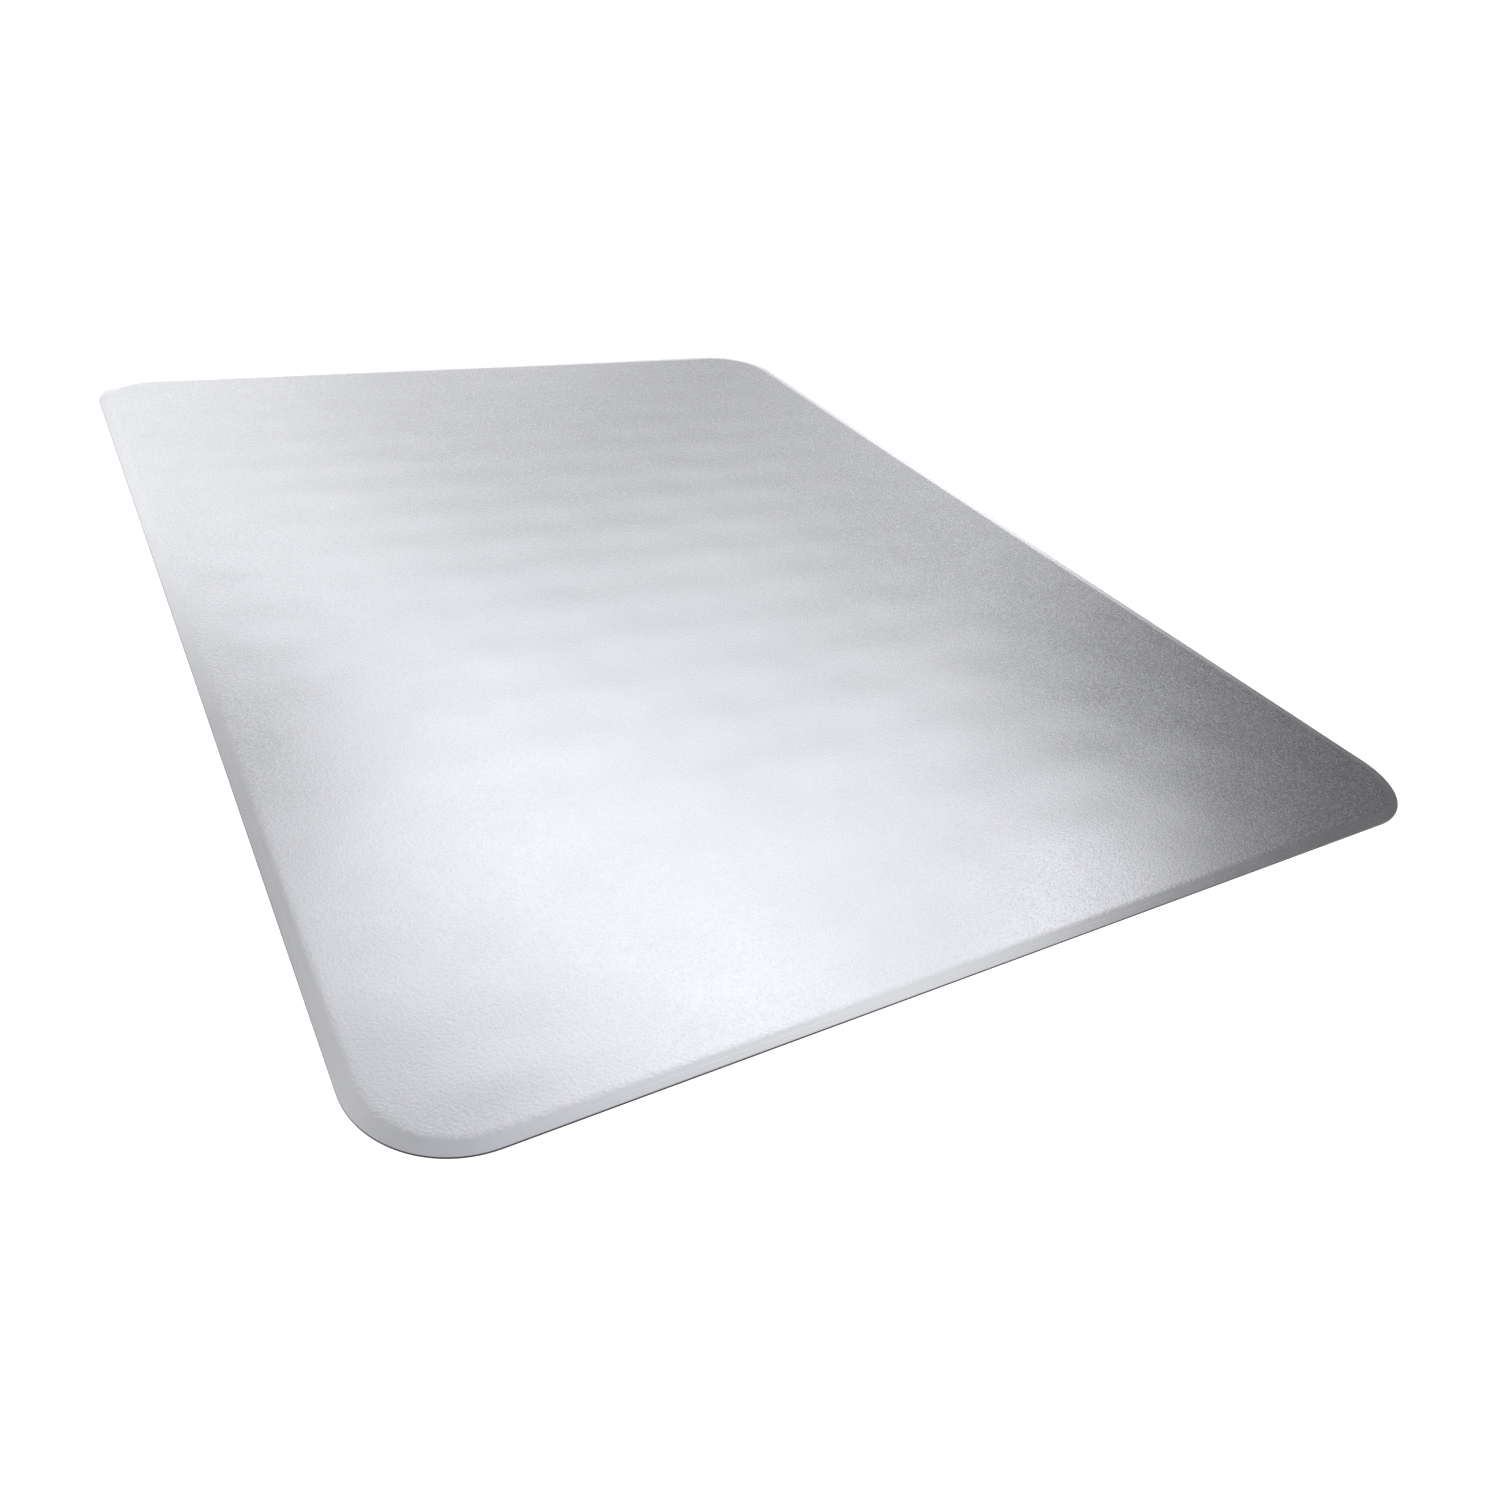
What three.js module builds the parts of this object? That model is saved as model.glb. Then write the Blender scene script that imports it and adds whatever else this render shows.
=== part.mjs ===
// Chair mat for hard floors: a clear vinyl sheet with rounded corners and a bevelled border all round.
// The sheet is a laminate of three layers, bonded face to face and bevelled together.
// Millimetres. +Z is up, Y runs along the long side, and the origin is the centre of the underside.

import * as THREE from "three";

// Outline of the underside.
const WIDTH = 914.4; // 36 in, along X
const LENGTH = 1219.2; // 48 in, along Y
const CORNER_RADIUS = 70;
const CORNER_STEPS = 12; // each corner takes twice this many chords

// Layer thicknesses. They are whole numbers of halves, so that touching faces meet exactly.
const GRIP_FILM = 0.5;
const CORE = 1.5;
const WEAR_LAYER = 0.5;
const CORE_BOTTOM = GRIP_FILM;
const CORE_TOP = CORE_BOTTOM + CORE;
const SHEET_TOP = CORE_TOP + WEAR_LAYER;

// The bevel rises from the upright edge land at an even slope, then bends into the flat top.
const LAND_TOP = 1.5; // top of the upright edge, above the floor
const BEVEL_WIDTH = 12.7;
const BEVEL_BEND = 4.5; // the inner part of its width, over which it bends
const BEVEL_STEPS = 8;
const BEVEL_SLOPE = (SHEET_TOP - LAND_TOP) / (BEVEL_WIDTH - BEVEL_BEND / 2);

const COLOURS = {
  wearLayer: 0xcdcfd4,
  core: 0xd6d8dc,
  gripFilm: 0x8a8c91,
};

// How far in from the sheet's edge the bevel reaches a given height.
function bevelInset(height) {
  const drop = SHEET_TOP - height;
  if (drop > (BEVEL_SLOPE * BEVEL_BEND) / 2) {
    return BEVEL_WIDTH - BEVEL_BEND / 2 - drop / BEVEL_SLOPE;
  }
  return BEVEL_WIDTH - Math.sqrt((2 * BEVEL_BEND * drop) / BEVEL_SLOPE);
}

// Points of the bevel from one height to another, as [inset, height] pairs.
function bevel(from, to) {
  return Array.from({ length: BEVEL_STEPS + 1 }, (_, i) => {
    const height = THREE.MathUtils.lerp(from, to, i / BEVEL_STEPS);
    return [bevelInset(height), height];
  });
}

// The sheet's outline moved inwards by inset, as a counter-clockwise loop of points.
function outline(inset) {
  const radius = CORNER_RADIUS - inset;
  const x = WIDTH / 2 - CORNER_RADIUS;
  const y = LENGTH / 2 - CORNER_RADIUS;
  const shape = new THREE.Shape();
  [[x, y], [-x, y], [-x, -y], [x, -y]].forEach(([cx, cy], i) => {
    shape.absarc(cx, cy, radius, (i * Math.PI) / 2, ((i + 1) * Math.PI) / 2);
  });
  return shape.getPoints(CORNER_STEPS);
}

// A closed slab whose edge follows profile, a list of [inset, height] pairs from its underside to its top.
function slab(profile) {
  const loops = profile.map(([inset]) => outline(inset));
  const count = loops[0].length;
  const positions = [];
  loops.forEach((loop, i) => loop.forEach((p) => positions.push(p.x, p.y, profile[i][1])));
  const bottomCentre = loops.length * count;
  const topCentre = bottomCentre + 1;
  positions.push(0, 0, profile[0][1], 0, 0, profile.at(-1)[1]);

  const faces = [];
  for (let i = 0; i < count; i++) {
    const next = (i + 1) % count;
    for (let row = 0; row < loops.length - 1; row++) {
      const low = row * count;
      const high = low + count;
      faces.push(low + i, low + next, high + next, low + i, high + next, high + i);
    }
    const top = (loops.length - 1) * count;
    faces.push(bottomCentre, next, i, topCentre, top + i, top + next);
  }

  const geometry = new THREE.BufferGeometry();
  geometry.setAttribute("position", new THREE.Float32BufferAttribute(positions, 3));
  geometry.setIndex(faces);
  geometry.computeVertexNormals();
  return geometry;
}

function vinyl(color, roughness, opacity) {
  return new THREE.MeshStandardMaterial({
    color,
    roughness,
    metalness: 0,
    transparent: opacity < 1,
    opacity,
  });
}

// Soft film on the underside that stops the mat sliding on a smooth floor.
function gripFilm() {
  const geometry = slab([[0, 0], [0, CORE_BOTTOM]]);
  const mesh = new THREE.Mesh(geometry, vinyl(COLOURS.gripFilm, 0.7, 1));
  mesh.name = "grip_backing_film";
  return mesh;
}

// Clear sheet that carries the load, with the upright edge and the lower part of the bevel.
function coreSheet() {
  const geometry = slab([[0, CORE_BOTTOM], ...bevel(LAND_TOP, CORE_TOP)]);
  const mesh = new THREE.Mesh(geometry, vinyl(COLOURS.core, 0.25, 0.8));
  mesh.name = "clear_core_sheet";
  return mesh;
}

// Embossed top layer that the casters roll on, with the upper part of the bevel.
function wearLayer() {
  const geometry = slab(bevel(CORE_TOP, SHEET_TOP));
  const mesh = new THREE.Mesh(geometry, vinyl(COLOURS.wearLayer, 0.4, 0.8));
  mesh.name = "textured_wear_layer";
  return mesh;
}

const chairMat = new THREE.Group();
chairMat.name = "chair_mat";
chairMat.add(gripFilm(), coreSheet(), wearLayer());

export default chairMat;
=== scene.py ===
# Chair mat for hard floors: the looks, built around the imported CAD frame. Metres, in the CAD's own frame:
# +Z is up, Y runs along the long side, and the origin is the centre of the underside.

import math

import bpy
import numpy as np
from mathutils import Matrix, Vector


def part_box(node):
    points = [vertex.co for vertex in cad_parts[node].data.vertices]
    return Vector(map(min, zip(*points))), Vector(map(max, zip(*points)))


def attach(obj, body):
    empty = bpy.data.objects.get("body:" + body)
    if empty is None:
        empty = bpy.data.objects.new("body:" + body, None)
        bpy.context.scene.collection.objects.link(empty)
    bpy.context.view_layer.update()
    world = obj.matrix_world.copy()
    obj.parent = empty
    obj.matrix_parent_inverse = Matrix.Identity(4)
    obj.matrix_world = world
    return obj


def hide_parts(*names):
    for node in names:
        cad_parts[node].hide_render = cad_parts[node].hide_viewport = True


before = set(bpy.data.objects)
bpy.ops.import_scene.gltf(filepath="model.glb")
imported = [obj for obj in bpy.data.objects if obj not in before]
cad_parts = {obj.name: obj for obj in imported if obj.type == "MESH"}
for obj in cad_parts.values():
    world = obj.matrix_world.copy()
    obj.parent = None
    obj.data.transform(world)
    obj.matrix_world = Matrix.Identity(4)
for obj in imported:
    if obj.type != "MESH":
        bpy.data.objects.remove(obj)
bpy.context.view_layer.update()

MM = 0.001

# ---------------------------------------------------------------- sizes, the same as in part.mjs
CORNER_RADIUS = 70 * MM
BEVEL_WIDTH = 12.7 * MM
BEVEL_BEND = 4.5 * MM  # the inner part of its width, over which it bends into the flat top
LAND_TOP = 1.5 * MM  # top of the upright edge, above the floor

# The rest is read from the frame.
FILM_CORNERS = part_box("grip_backing_film")
CORE_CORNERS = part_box("clear_core_sheet")
HALF_WIDTH = FILM_CORNERS[1].x
HALF_LENGTH = FILM_CORNERS[1].y
CORE_BOTTOM = CORE_CORNERS[0].z
CORE_TOP = CORE_CORNERS[1].z
SHEET_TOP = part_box("textured_wear_layer")[1].z
BEVEL_SLOPE = (SHEET_TOP - LAND_TOP) / (BEVEL_WIDTH - BEVEL_BEND / 2)

# ---------------------------------------------------------------- fineness of the visible meshes
FIELD_PITCH = 3.7 * MM  # cells of the embossed field
CORNER_ROWS = 18  # rows of cells along the curved part of the field's outline
BORDER_PITCH = 20 * MM  # length of the cells along the straight edges of the lower layers
CORNER_STEPS = 32  # cells around each corner of the lower layers
UPPER_BEVEL_STEPS = 12  # cells across the wear layer's part of the bevel
LOWER_BEVEL_STEPS = 10  # cells across the core's part of it
ROUNDING_STEPS = 4

# ---------------------------------------------------------------- relief of the top
PEBBLE_RELIEF = 0.02 * MM  # height of the coarsest pebbles, the only ones that the mesh can show
PEBBLE_SEED = 11
# Shallow dimples in a staggered lattice.
DIMPLE_SPACING = (135 * MM, 147 * MM)
DIMPLE_DEPTH = 0.15 * MM
BAND_DEPTH = 0.13 * MM  # straight bands parallel to the short side, two in each lattice period
LATTICE_TURN = math.radians(2.5)
RELIEF_FADE = 35 * MM  # the relief dies out over this distance from the border
# Finer relief, which the materials carry. Depths are between the noise's limits: most of it is much less.
PEBBLE_PITCH = 1.8 * MM
PEBBLE_DEPTH = 0.06 * MM
LUMP_PITCH = 3.5 * MM  # lumps along the line where the embossing ends
LUMP_DEPTH = 0.1 * MM
TACK_PITCH = 1.5 * MM  # grain of the underside
TACK_DEPTH = 0.03 * MM

# ---------------------------------------------------------------- edges
EDGE_ROUNDING = 0.16 * MM  # radius between the bevel and the upright edge
FILM_ROUNDING = 0.08 * MM  # radius of the lowest edge
CREASE = math.radians(35)  # edges that turn by more are sharp

# ---------------------------------------------------------------- colours, from darkest to lightest
FIELD_COLOURS = ((0.465, 0.470, 0.497), (0.560, 0.566, 0.598))
BORDER_COLOURS = ((0.500, 0.505, 0.528), (0.540, 0.546, 0.570))
PAINTED_EDGE_SHADE_COLOURS = ((0.02, 0.0205, 0.022), (0.03, 0.031, 0.033))  # painted shade: the upright edge is coloured near black, as it looks in shade
UNDERSIDE_COLOURS = ((0.36, 0.365, 0.380), (0.44, 0.446, 0.464))
LIGHT_COLOUR = (0.97, 0.98, 1.03)
HAZE_PITCH = 45 * MM  # cloudiness of the vinyl

# ---------------------------------------------------------------- gloss
FIELD_ROUGHNESS = (0.21, 0.28)
BORDER_ROUGHNESS = (0.22, 0.28)
UNDERSIDE_ROUGHNESS = (0.5, 0.65)
SHEEN_SHARE = 0.75  # the share of the vinyl's reflection that is metallic, for its silver look
VINYL_IOR = 1.5
FILM_IOR = 1.45
GLINT_RANGE = (0.40, 0.68)  # where the pebble's noise begins to glint, and where it glints fully
PAINTED_GLINT_SHADE = 0.2  # how far a glint moves the field's colour from its darkest to its lightest, a painted highlight
HAZE_SHADE = 0.5  # and how far the haze does
BORDER = "border"  # mesh attribute: 1 where the bevel is smooth, 0 on the embossed field

# ---------------------------------------------------------------- stage
FLOOR_HALF = 60  # metres, as are the next three
FLOOR_HEIGHT = -0.00002  # just under the mat
WALL_RADIUS = 50
WALL_HEIGHTS = (-1, 60)
WALL_SIDES = 48
HORIZON_GLOW = (3, 16)  # degrees of elevation, from full brightness down to none


# ================================================================ outlines
def straight_points(half, pitch):
    """Evenly spaced places from -half to half, without the last one."""
    count = max(1, round(2 * half / pitch))
    return [-half + 2 * half * i / count for i in range(count)]


def sheet_outline():
    """The sheet's outline as centres and outward normals, counter-clockwise from the lower right.

    A point of it at some inset is centre + (CORNER_RADIUS - inset) * normal."""
    x = HALF_WIDTH - CORNER_RADIUS
    y = HALF_LENGTH - CORNER_RADIUS
    side_places = straight_points(y, BORDER_PITCH)
    end_places = straight_points(x, BORDER_PITCH)
    centres = []
    normals = []

    def straight(make_centre, places, normal):
        for place in places:
            centres.append(make_centre(place))
            normals.append(normal)

    def corner(cx, cy, start):
        for i in range(CORNER_STEPS):
            angle = start + math.pi / 2 * i / CORNER_STEPS
            centres.append((cx, cy))
            normals.append((math.cos(angle), math.sin(angle)))

    straight(lambda place: (x, place), side_places, (1, 0))
    corner(x, y, 0)
    straight(lambda place: (-place, y), end_places, (0, 1))
    corner(-x, y, math.pi / 2)
    straight(lambda place: (-x, -place), side_places, (-1, 0))
    corner(-x, -y, math.pi)
    straight(lambda place: (place, -y), end_places, (0, -1))
    corner(x, -y, 3 * math.pi / 2)
    return np.array(centres), np.array(normals)


def loop_at(outline, inset, height):
    """The outline's points at one inset and height, as rows of x, y, z."""
    centres, normals = outline
    flat = centres + (CORNER_RADIUS - inset) * normals
    return np.column_stack([flat, np.full(len(flat), height)])


# ================================================================ section of the edge
def bevel_inset(height):
    """How far in from the sheet's edge the bevel reaches a given height.

    It rises at an even slope from the upright edge, then bends into the flat top."""
    drop = SHEET_TOP - height
    if drop > BEVEL_SLOPE * BEVEL_BEND / 2:
        return BEVEL_WIDTH - BEVEL_BEND / 2 - drop / BEVEL_SLOPE
    return BEVEL_WIDTH - math.sqrt(2 * BEVEL_BEND * drop / BEVEL_SLOPE)


def bevel_section(low, high, steps):
    """(inset, height) pairs along the bevel."""
    heights = [low + (high - low) * i / steps for i in range(steps + 1)]
    return [(bevel_inset(height), height) for height in heights]


def rounded_edge():
    """(inset, height) pairs of the quarter round that joins the upright edge to the bevel."""
    pairs = []
    for i in range(ROUNDING_STEPS + 1):
        angle = math.pi / 2 * i / ROUNDING_STEPS
        inset = EDGE_ROUNDING * (1 - math.cos(angle))
        pairs.append((inset, LAND_TOP - EDGE_ROUNDING * (1 - math.sin(angle))))
    return pairs


# ================================================================ meshes
def make_object(name, vertices, faces, material, flat_faces):
    """A smooth shaded object. Its last flat_faces faces are shaded flat."""
    mesh = bpy.data.meshes.new(name)
    mesh.from_pydata([tuple(v) for v in vertices], [], faces)
    mesh.validate()
    mesh.shade_smooth()
    for face in mesh.polygons[-flat_faces:]:
        face.use_smooth = False
    mesh.set_sharp_from_angle(angle=CREASE)
    mesh.materials.append(material)
    made = bpy.data.objects.new(name, mesh)
    bpy.context.scene.collection.objects.link(made)
    return made


def bridge(lower, upper, count):
    """Quads between two counter-clockwise loops of count vertices, whose first ones are lower and upper.

    They face out where the lower loop is below or outside the upper one."""
    return [
        (lower + i, lower + (i + 1) % count, upper + (i + 1) % count, upper + i)
        for i in range(count)
    ]


def lofted_slab(outline, section):
    """Vertices and faces of a closed slab whose edge follows section, from its underside to its top."""
    count = len(outline[0])
    vertices = np.vstack([loop_at(outline, inset, height) for inset, height in section])
    faces = []
    for row in range(len(section) - 1):
        faces += bridge(row * count, (row + 1) * count, count)
    faces.append(tuple(reversed(range(count))))
    faces.append(tuple(range(len(vertices) - count, len(vertices))))
    return vertices, faces


# ================================================================ the embossed field
def field_rows():
    """(y, half width) of each row of the field's grid, from the near end to the far end."""
    radius = CORNER_RADIUS - BEVEL_WIDTH
    half_width = HALF_WIDTH - BEVEL_WIDTH
    straight_half = HALF_LENGTH - CORNER_RADIUS
    curved = []
    for i in range(CORNER_ROWS + 1):
        angle = math.pi / 2 * i / CORNER_ROWS
        half = half_width - radius * (1 - math.cos(angle))
        curved.append((straight_half + radius * math.sin(angle), half))
    near = [(-y, half) for y, half in reversed(curved)]
    middle = [(y, half_width) for y in straight_points(straight_half, FIELD_PITCH)[1:]]
    return near + middle + curved


def field_relief(points, rng):
    """Height of the field's surface over its mean level: dimples, bands and the coarsest pebbles."""
    turned_x = points[:, 0] * math.cos(LATTICE_TURN) - points[:, 1] * math.sin(LATTICE_TURN)
    turned_y = points[:, 0] * math.sin(LATTICE_TURN) + points[:, 1] * math.cos(LATTICE_TURN)
    phase_x = 2 * math.pi * turned_x / DIMPLE_SPACING[0]
    phase_y = 2 * math.pi * turned_y / DIMPLE_SPACING[1]
    dimples = -DIMPLE_DEPTH / 2 * np.cos(phase_x) * np.cos(phase_y)
    bands = BAND_DEPTH / 2 * np.cos(2 * phase_y)
    pebbles = PEBBLE_RELIEF / 2 * rng.uniform(-1, 1, len(points))
    to_edge = np.minimum(HALF_WIDTH - abs(points[:, 0]), HALF_LENGTH - abs(points[:, 1])) - BEVEL_WIDTH
    fade = np.clip(to_edge / RELIEF_FADE, 0, 1)
    return (dimples + bands + pebbles) * fade**2 * (3 - 2 * fade)


def field_grid(rng):
    """The embossed field's vertices and faces, and its rim, counter-clockwise from the lower right."""
    rows = field_rows()
    columns = round(2 * (HALF_WIDTH - BEVEL_WIDTH) / FIELD_PITCH)
    across = np.linspace(-1, 1, columns + 1)
    flat = np.vstack([np.column_stack([across * half, np.full(columns + 1, y)]) for y, half in rows])
    vertices = np.column_stack([flat, SHEET_TOP + field_relief(flat, rng)])
    count = columns + 1
    last = len(rows) - 1
    faces = [
        (row * count + i, row * count + i + 1, (row + 1) * count + i + 1, (row + 1) * count + i)
        for row in range(last)
        for i in range(columns)
    ]
    rim = [row * count + columns for row in range(last)]
    rim += [last * count + column for column in range(columns, 0, -1)]
    rim += [row * count for row in range(last, 0, -1)]
    rim += list(range(columns))
    return vertices, faces, rim


def outline_through(points):
    """The sheet's outline as centres and outward normals, where it passes the field's rim points."""
    corner_x = HALF_WIDTH - CORNER_RADIUS
    corner_y = HALF_LENGTH - CORNER_RADIUS
    centres = np.clip(points, (-corner_x, -corner_y), (corner_x, corner_y))
    normals = points - centres
    return centres, normals / np.linalg.norm(normals, axis=1)[:, None]


def make_wear_layer(material):
    """Embossed top layer: a grid of cells for its field, and the upper part of the bevel around it."""
    field, faces, ring = field_grid(np.random.default_rng(PEBBLE_SEED))
    outline = outline_through(field[ring, :2])
    vertices = [field]
    smoothness = [0.0] * len(field)
    size = len(ring)
    for inset, height in bevel_section(SHEET_TOP, CORE_TOP, UPPER_BEVEL_STEPS)[1:]:
        start = len(smoothness)
        vertices.append(loop_at(outline, inset, height))
        smoothness += [min(1.0, (BEVEL_WIDTH - inset) / BEVEL_BEND)] * size
        faces += [(start + i, start + (i + 1) % size, ring[(i + 1) % size], ring[i]) for i in range(size)]
        ring = list(range(start, start + size))
    faces.append(tuple(reversed(ring)))
    made = make_object("embossed_wear_layer", np.vstack(vertices), faces, material, 1)
    made.data.attributes.new(BORDER, "FLOAT", "POINT").data.foreach_set("value", smoothness)
    return made


# ================================================================ the lower layers
def make_core_sheet(material):
    """Clear sheet with the upright edge and the lower part of the bevel, rounded between them."""
    bevel = bevel_section(LAND_TOP, CORE_TOP, LOWER_BEVEL_STEPS)
    clear_of_rounding = [(inset, height) for inset, height in bevel if inset > 2 * EDGE_ROUNDING]
    section = [(0, CORE_BOTTOM), *rounded_edge(), *clear_of_rounding]
    vertices, faces = lofted_slab(sheet_outline(), section)
    return make_object("bevelled_core_sheet", vertices, faces, material, 2)


def make_grip_film(material):
    """Soft film under the core, its lower edge a little rounded."""
    tuck = FILM_ROUNDING
    section = [(tuck, 0), (tuck * 0.3, tuck * 0.3), (0, tuck), (0, CORE_BOTTOM)]
    vertices, faces = lofted_slab(sheet_outline(), section)
    return make_object("grip_film", vertices, faces, material, 2)


# ================================================================ materials
def math_node(tree, operation, first, second=None):
    """The output of a Math node on one or two inputs, each a number or another node's output."""
    node = tree.nodes.new("ShaderNodeMath")
    node.operation = operation
    for socket, value in zip(node.inputs, (first, second)):
        if isinstance(value, bpy.types.NodeSocket):
            tree.links.new(value, socket)
        elif value is not None:
            socket.default_value = value
    return node.outputs["Value"]


class Nodes:
    """A material's node tree, with short calls that add and join nodes."""

    def __init__(self, name):
        self.material = bpy.data.materials.new(name)
        self.material.use_nodes = True
        self.tree = self.material.node_tree
        self.shader = self.tree.nodes["Principled BSDF"]
        self.place = self.add("ShaderNodeTexCoord").outputs["Object"]

    def add(self, kind, **settings):
        node = self.tree.nodes.new(kind)
        for key, value in settings.items():
            setattr(node, key, value)
        return node

    def link(self, source, target):
        self.tree.links.new(source, target)

    def math(self, operation, first, second=None):
        return math_node(self.tree, operation, first, second)

    def noise(self, pitch, detail, fineness=0.5):
        """Smooth noise from 0 to 1. Each of its detail finer octaves is fineness times the one before."""
        node = self.add("ShaderNodeTexNoise")
        node.inputs["Scale"].default_value = 1 / pitch
        node.inputs["Detail"].default_value = detail
        node.inputs["Roughness"].default_value = fineness
        self.link(self.place, node.inputs["Vector"])
        return node.outputs["Fac"]

    def haze(self):
        """Slow cloudiness, from 0 to 1."""
        return self.noise(HAZE_PITCH, 3.0)

    def height(self):
        """Height over the floor, in metres."""
        node = self.add("ShaderNodeSeparateXYZ")
        self.link(self.place, node.inputs["Vector"])
        return node.outputs["Z"]

    def ramp(self, value, low, high):
        """value from 0 to 1, mapped onto low to high."""
        node = self.add("ShaderNodeMapRange")
        node.inputs["To Min"].default_value = low
        node.inputs["To Max"].default_value = high
        self.link(value, node.inputs["Value"])
        return node.outputs["Result"]

    def blend(self, value, first, second):
        """A number from first, where value is 0, to second, where it is 1."""
        return self.math("ADD", first, self.math("MULTIPLY", value, self.math("SUBTRACT", second, first)))

    def smooth_step(self, value, low, high):
        """0 below low, 1 above high, and an S-curve between."""
        node = self.add("ShaderNodeMapRange", interpolation_type="SMOOTHSTEP")
        node.inputs["From Min"].default_value = low
        node.inputs["From Max"].default_value = high
        self.link(value, node.inputs["Value"])
        return node.outputs["Result"]

    def mix(self, value, first, second):
        """A colour from first, where value is 0, to second, where it is 1."""
        node = self.add("ShaderNodeMix", data_type="RGBA")
        for socket, colour in ((node.inputs["A"], first), (node.inputs["B"], second)):
            if isinstance(colour, bpy.types.NodeSocket):
                self.link(colour, socket)
            else:
                socket.default_value = (*colour, 1)
        self.link(value, node.inputs["Factor"])
        return node.outputs["Result"]

    def relief(self, noise, where, depth):
        """Height in millimetres either side of the surface, from noise between 0 and 1.

        where is 1 for the whole relief and 0 for none."""
        centred = self.math("SUBTRACT", noise, 0.5)
        return self.math("MULTIPLY", self.math("MULTIPLY", centred, where), depth / MM)

    def bump(self, height):
        """Surface relief from a height in millimetres."""
        node = self.add("ShaderNodeBump")
        node.inputs["Strength"].default_value = 1
        node.inputs["Distance"].default_value = MM
        self.link(height, node.inputs["Height"])
        self.link(node.outputs["Normal"], self.shader.inputs["Normal"])

    def set(self, **values):
        for key, value in values.items():
            self.shader.inputs[key.replace("_", " ")].default_value = value


def wear_layer_material():
    """Satin vinyl with a fine random pebble, whose glints are partly a painted highlight in its colour, a
    smooth border, and lumps along the line where they meet.
    """
    nodes = Nodes("embossed_vinyl")
    border = nodes.add("ShaderNodeAttribute", attribute_name=BORDER).outputs["Fac"]
    field = nodes.math("SUBTRACT", 1.0, border)
    meeting = nodes.math("MULTIPLY", nodes.math("MULTIPLY", border, field), 4.0)  # 1 halfway between them
    pebble = nodes.noise(PEBBLE_PITCH, 2.0, 0.55)
    pebbles = nodes.relief(pebble, field, PEBBLE_DEPTH)
    lumps = nodes.relief(nodes.noise(LUMP_PITCH, 1.0), meeting, LUMP_DEPTH)
    nodes.bump(nodes.math("ADD", pebbles, lumps))
    haze = nodes.haze()
    glints = nodes.smooth_step(pebble, *GLINT_RANGE)
    embossed_gloss = nodes.ramp(glints, *FIELD_ROUGHNESS)
    smooth_gloss = nodes.ramp(haze, *BORDER_ROUGHNESS)
    nodes.link(nodes.blend(border, embossed_gloss, smooth_gloss), nodes.shader.inputs["Roughness"])
    # painted highlight: the glints also lighten the field's colour, as well as changing its roughness
    painted_glint_shade = nodes.math("MULTIPLY", glints, PAINTED_GLINT_SHADE)
    haze_shade = nodes.math("MULTIPLY", haze, HAZE_SHADE)
    embossed = nodes.mix(nodes.math("ADD", painted_glint_shade, haze_shade), *FIELD_COLOURS)
    smooth = nodes.mix(haze, *BORDER_COLOURS)
    nodes.link(nodes.mix(border, embossed, smooth), nodes.shader.inputs["Base Color"])
    nodes.set(Metallic=SHEEN_SHARE, IOR=VINYL_IOR)
    return nodes.material


def core_material():
    """Smooth clear vinyl, with painted shade on its upright cut edge, which is coloured near black."""
    nodes = Nodes("clear_vinyl")
    haze = nodes.haze()
    nodes.link(nodes.ramp(haze, *BORDER_ROUGHNESS), nodes.shader.inputs["Roughness"])
    cut_top = LAND_TOP - EDGE_ROUNDING / 2
    bevel_foot = LAND_TOP - EDGE_ROUNDING / 8
    over_the_edge = nodes.smooth_step(nodes.height(), cut_top, bevel_foot)
    smooth = nodes.mix(haze, *BORDER_COLOURS)
    # painted shade: near black on the upright edge, up to the middle of its rounding
    shaded_cut = nodes.mix(haze, *PAINTED_EDGE_SHADE_COLOURS)
    nodes.link(nodes.mix(over_the_edge, shaded_cut, smooth), nodes.shader.inputs["Base Color"])
    nodes.set(Metallic=SHEEN_SHARE, IOR=VINYL_IOR)
    return nodes.material


def grip_material():
    """Matt, slightly tacky film: grey from below, with the same painted shade as the core's upright edge
    around its own edge.
    """
    nodes = Nodes("grip_film")
    grain = nodes.noise(TACK_PITCH, 2.0)
    nodes.bump(nodes.relief(grain, 1.0, TACK_DEPTH))
    nodes.link(nodes.ramp(grain, *UNDERSIDE_ROUGHNESS), nodes.shader.inputs["Roughness"])
    edge = nodes.smooth_step(nodes.height(), 0.0, FILM_ROUNDING)
    haze = nodes.haze()
    face = nodes.mix(haze, *UNDERSIDE_COLOURS)
    # painted shade: the film's upright edge is coloured near black, like the core's
    nodes.link(nodes.mix(edge, face, nodes.mix(haze, *PAINTED_EDGE_SHADE_COLOURS)), nodes.shader.inputs["Base Color"])
    nodes.set(IOR=FILM_IOR)
    return nodes.material


# ================================================================ studio
def direction(azimuth, elevation):
    """Unit vector along a compass direction in degrees: azimuth 0 is +Y, 90 is +X."""
    turn = math.radians(azimuth)
    rise = math.radians(elevation)
    return Vector((math.sin(turn) * math.cos(rise), math.cos(turn) * math.cos(rise), math.sin(rise)))


def softbox(name, azimuth, elevation, distance, size, radiance):
    """Square light that faces the mat. A radiance of 1 looks as bright as a fully lit white floor."""
    towards = direction(azimuth, elevation)
    light = bpy.data.lights.new(name, "AREA")
    light.shape = "SQUARE"
    light.size = size
    light.energy = radiance * math.pi * size**2
    light.color = LIGHT_COLOUR
    lamp = bpy.data.objects.new(name, light)
    lamp.location = towards * distance
    lamp.rotation_euler = towards.to_track_quat("Z", "Y").to_euler()
    lamp.visible_camera = False
    bpy.context.scene.collection.objects.link(lamp)


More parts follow.
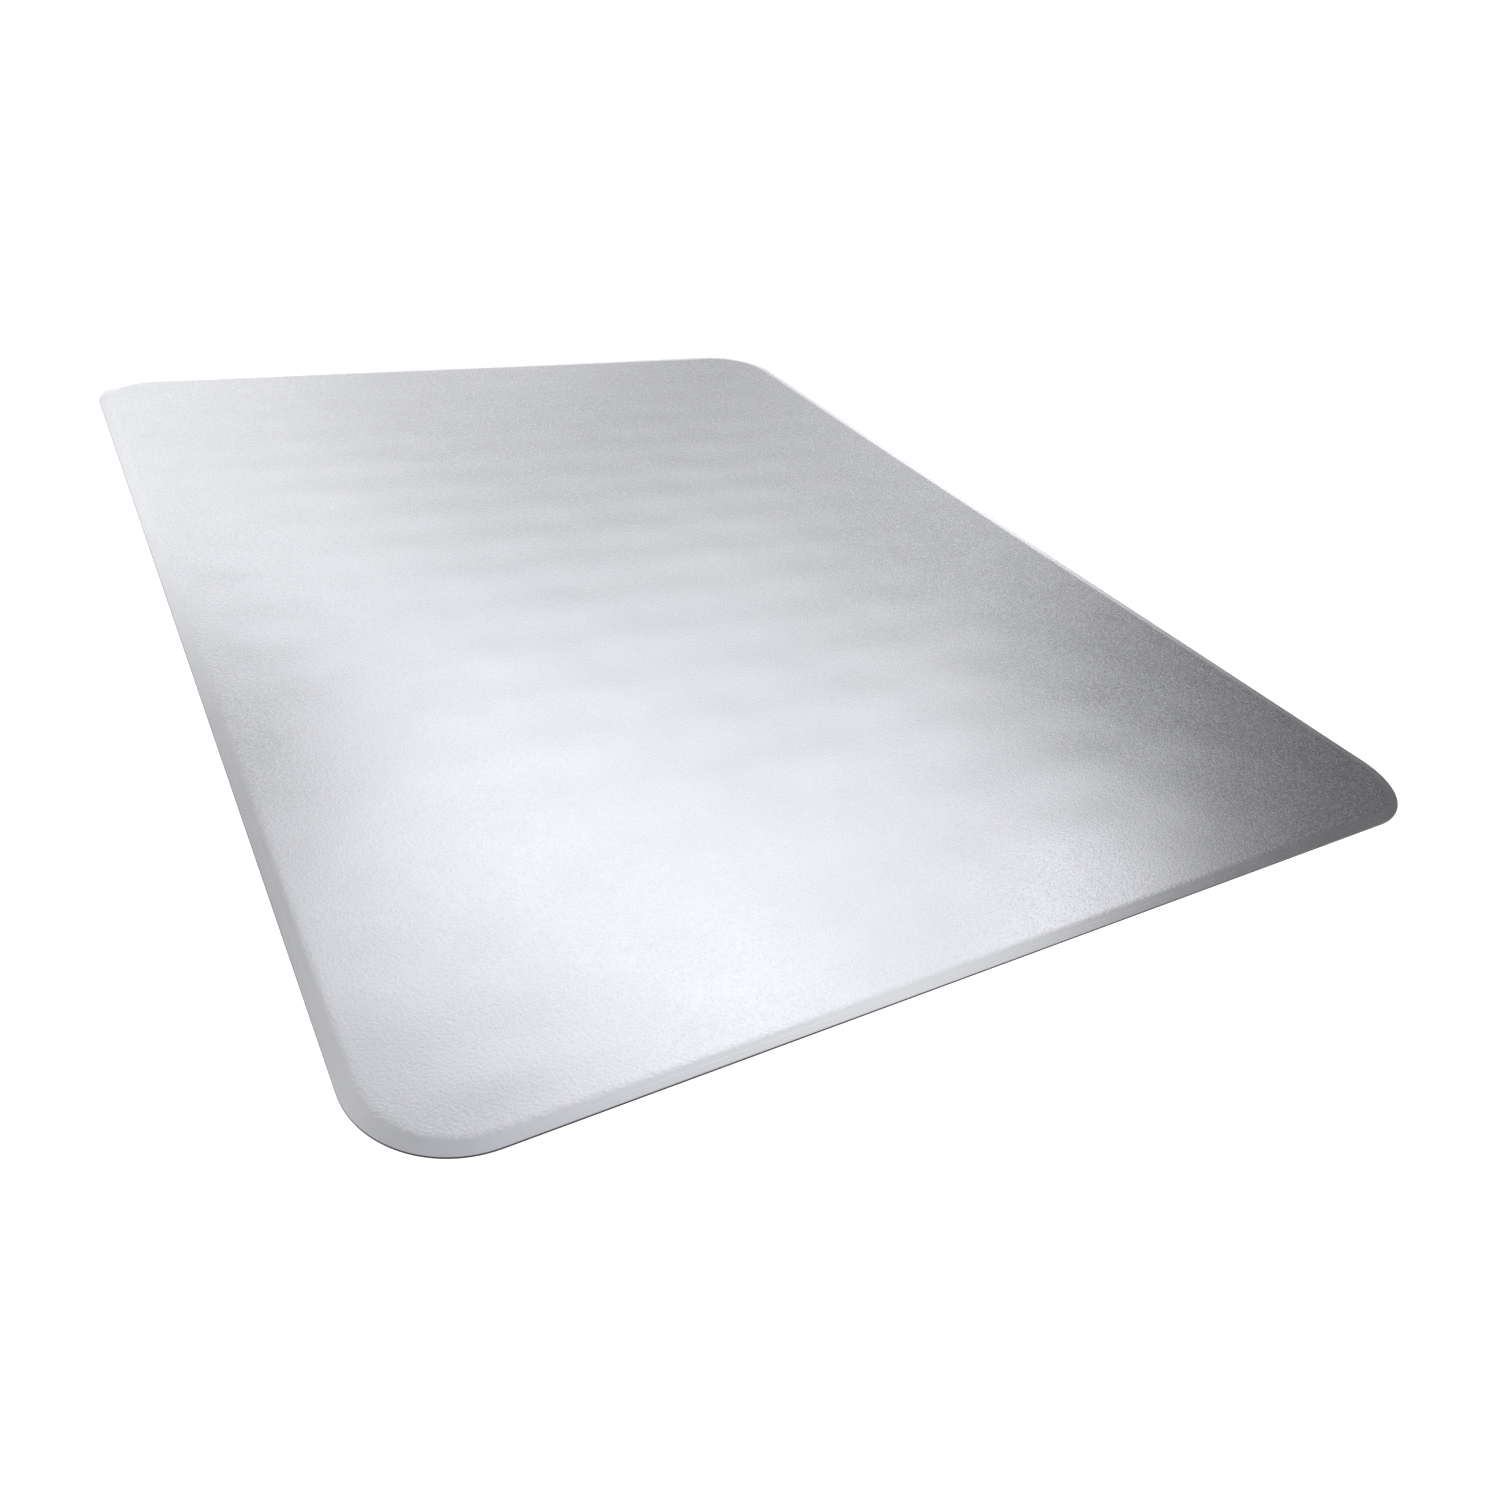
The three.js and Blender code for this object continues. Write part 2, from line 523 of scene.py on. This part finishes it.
def glowing_white(name, lit, glow):
    """White by its own light, glow. lit is the share that it throws back of any other light."""
    material = bpy.data.materials.new(name)
    material.use_nodes = True
    shader = material.node_tree.nodes["Principled BSDF"]
    shader.inputs["Base Color"].default_value = (lit, lit, lit, 1)
    shader.inputs["Roughness"].default_value = 0.9
    shader.inputs["Specular IOR Level"].default_value = 0.0
    shader.inputs["Emission Color"].default_value = (1, 1, 1, 1)
    shader.inputs["Emission Strength"].default_value = glow
    return material


def stage_piece(name, vertices, faces, material):
    """A piece of the stage, which isn't part of the object."""
    mesh = bpy.data.meshes.new(name)
    mesh.from_pydata(vertices, [], faces)
    mesh.materials.append(material)
    made = bpy.data.objects.new(name, mesh)
    bpy.context.scene.collection.objects.link(made)
    return made


def make_floor():
    """Floor that is white by its own light, even where the mat shades it."""
    corners = [(-1, -1), (1, -1), (1, 1), (-1, 1)]
    vertices = [(x * FLOOR_HALF, y * FLOOR_HALF, FLOOR_HEIGHT) for x, y in corners]
    stage_piece("floor", vertices, [(0, 1, 2, 3)], glowing_white("pale_floor", lit=0.5, glow=1.0))


def make_backdrop():
    """White wall far around the mat, seen only by the camera."""
    ring = [direction(360 * i / WALL_SIDES, 0) * WALL_RADIUS for i in range(WALL_SIDES)]
    vertices = [(x, y, height) for height in WALL_HEIGHTS for x, y, _ in ring]
    faces = bridge(0, WALL_SIDES, WALL_SIDES)
    material = glowing_white("white_wall", lit=0.0, glow=1.1)
    backdrop = stage_piece("backdrop", vertices, faces, material)
    backdrop.visible_glossy = False
    backdrop.visible_diffuse = False
    backdrop.visible_shadow = False


def make_world(lobes):
    """Studio surroundings: a bright horizon all round, and soft round lights with no hard edge.

    A lobe is (azimuth, elevation, spread, radiance), angles in degrees. One with a negative radiance is a
    dark flag: it takes away from what the others give, down to nothing."""
    world = bpy.data.worlds.new("studio")
    bpy.context.scene.world = world
    world.use_nodes = True
    tree = world.node_tree
    place = tree.nodes.new("ShaderNodeTexCoord").outputs["Generated"]
    split = tree.nodes.new("ShaderNodeSeparateXYZ")
    tree.links.new(place, split.inputs["Vector"])
    horizon = tree.nodes.new("ShaderNodeMapRange")
    horizon.interpolation_type = "SMOOTHSTEP"
    horizon.inputs["From Min"].default_value = math.sin(math.radians(HORIZON_GLOW[0]))
    horizon.inputs["From Max"].default_value = math.sin(math.radians(HORIZON_GLOW[1]))
    horizon.inputs["To Min"].default_value = 1.0
    horizon.inputs["To Max"].default_value = 0.0
    tree.links.new(split.outputs["Z"], horizon.inputs["Value"])
    light = horizon.outputs["Result"]
    for azimuth, elevation, spread, radiance in lobes:
        towards = tree.nodes.new("ShaderNodeVectorMath")
        towards.operation = "DOT_PRODUCT"
        towards.inputs[1].default_value = direction(azimuth, elevation)
        tree.links.new(place, towards.inputs[0])
        away = math_node(tree, "SUBTRACT", towards.outputs["Value"], 1.0)
        fall = math_node(tree, "MULTIPLY", away, math.radians(spread) ** -2)
        glow = math_node(tree, "MULTIPLY", math_node(tree, "EXPONENT", fall), radiance)
        light = math_node(tree, "ADD", light, glow)
    tree.links.new(math_node(tree, "MAXIMUM", light, 0.0), tree.nodes["Background"].inputs["Color"])


def make_camera(place, azimuth, elevation, roll, lens):
    """Camera at a place, looking along an azimuth (0 is +Y, 90 is +X) and down by elevation, in degrees."""
    forward = direction(azimuth, -elevation)
    level = direction(azimuth + 90, 0)
    upright = level.cross(forward)
    lean = math.radians(roll)
    right = level * math.cos(lean) + upright * math.sin(lean)
    up = upright * math.cos(lean) - level * math.sin(lean)
    data = bpy.data.cameras.new("camera")
    data.sensor_width = 36
    data.lens = lens
    data.clip_end = 500
    camera = bpy.data.objects.new("camera", data)
    camera.matrix_world = Matrix((right, up, -forward)).transposed().to_4x4()
    camera.location = place
    bpy.context.scene.collection.objects.link(camera)
    bpy.context.scene.camera = camera


# ================================================================ the scene
make_camera(place=(-0.528, -0.979, 0.545), azimuth=35.0, elevation=34.6, roll=9.0, lens=28.1)
make_world(
    # azimuth, elevation, spread, radiance
    [
        (-1.5, 24.5, 4, 2.25),
        (8, 29, 4.1, 2.8),
        (33, 26, 4.1, 0.7),
        (45, 33, 4.5, 1.6),
        (46, 47.5, 8.4, 2.6),
        (18.5, 38.5, 11, 2.35),
        (46.5, 4, 7.6, 3.5),
        (5.5, 7.5, 6, 2.6),
        (7, 32, 4, -2.8),
        (56, 38, 4, 3.8),
        (20.5, 8, 5.3, 1.45),
        (54, 39.5, 6.5, -2),
        (70, 52, 5, 1.6),
        (-14, 55, 5, 1.5),
        (-60, 30, 18, 1.1),
        (135, 25, 22, 1.0),
        (-130, 30, 30, 0.45),
    ]
)
make_floor()
make_backdrop()
softbox("overhead", azimuth=0, elevation=89, distance=3.0, size=1.8, radiance=0.65)

wear_layer = make_wear_layer(wear_layer_material())
core_sheet = make_core_sheet(core_material())
grip_film = make_grip_film(grip_material())
for piece, node, slot in (
    (wear_layer, "textured_wear_layer", "wear_layer"),
    (core_sheet, "clear_core_sheet", "core"),
    (grip_film, "grip_backing_film", "grip_film"),
):
    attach(piece, "mat")
    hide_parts(node)

bpy.context.scene.view_settings.view_transform = "Standard"
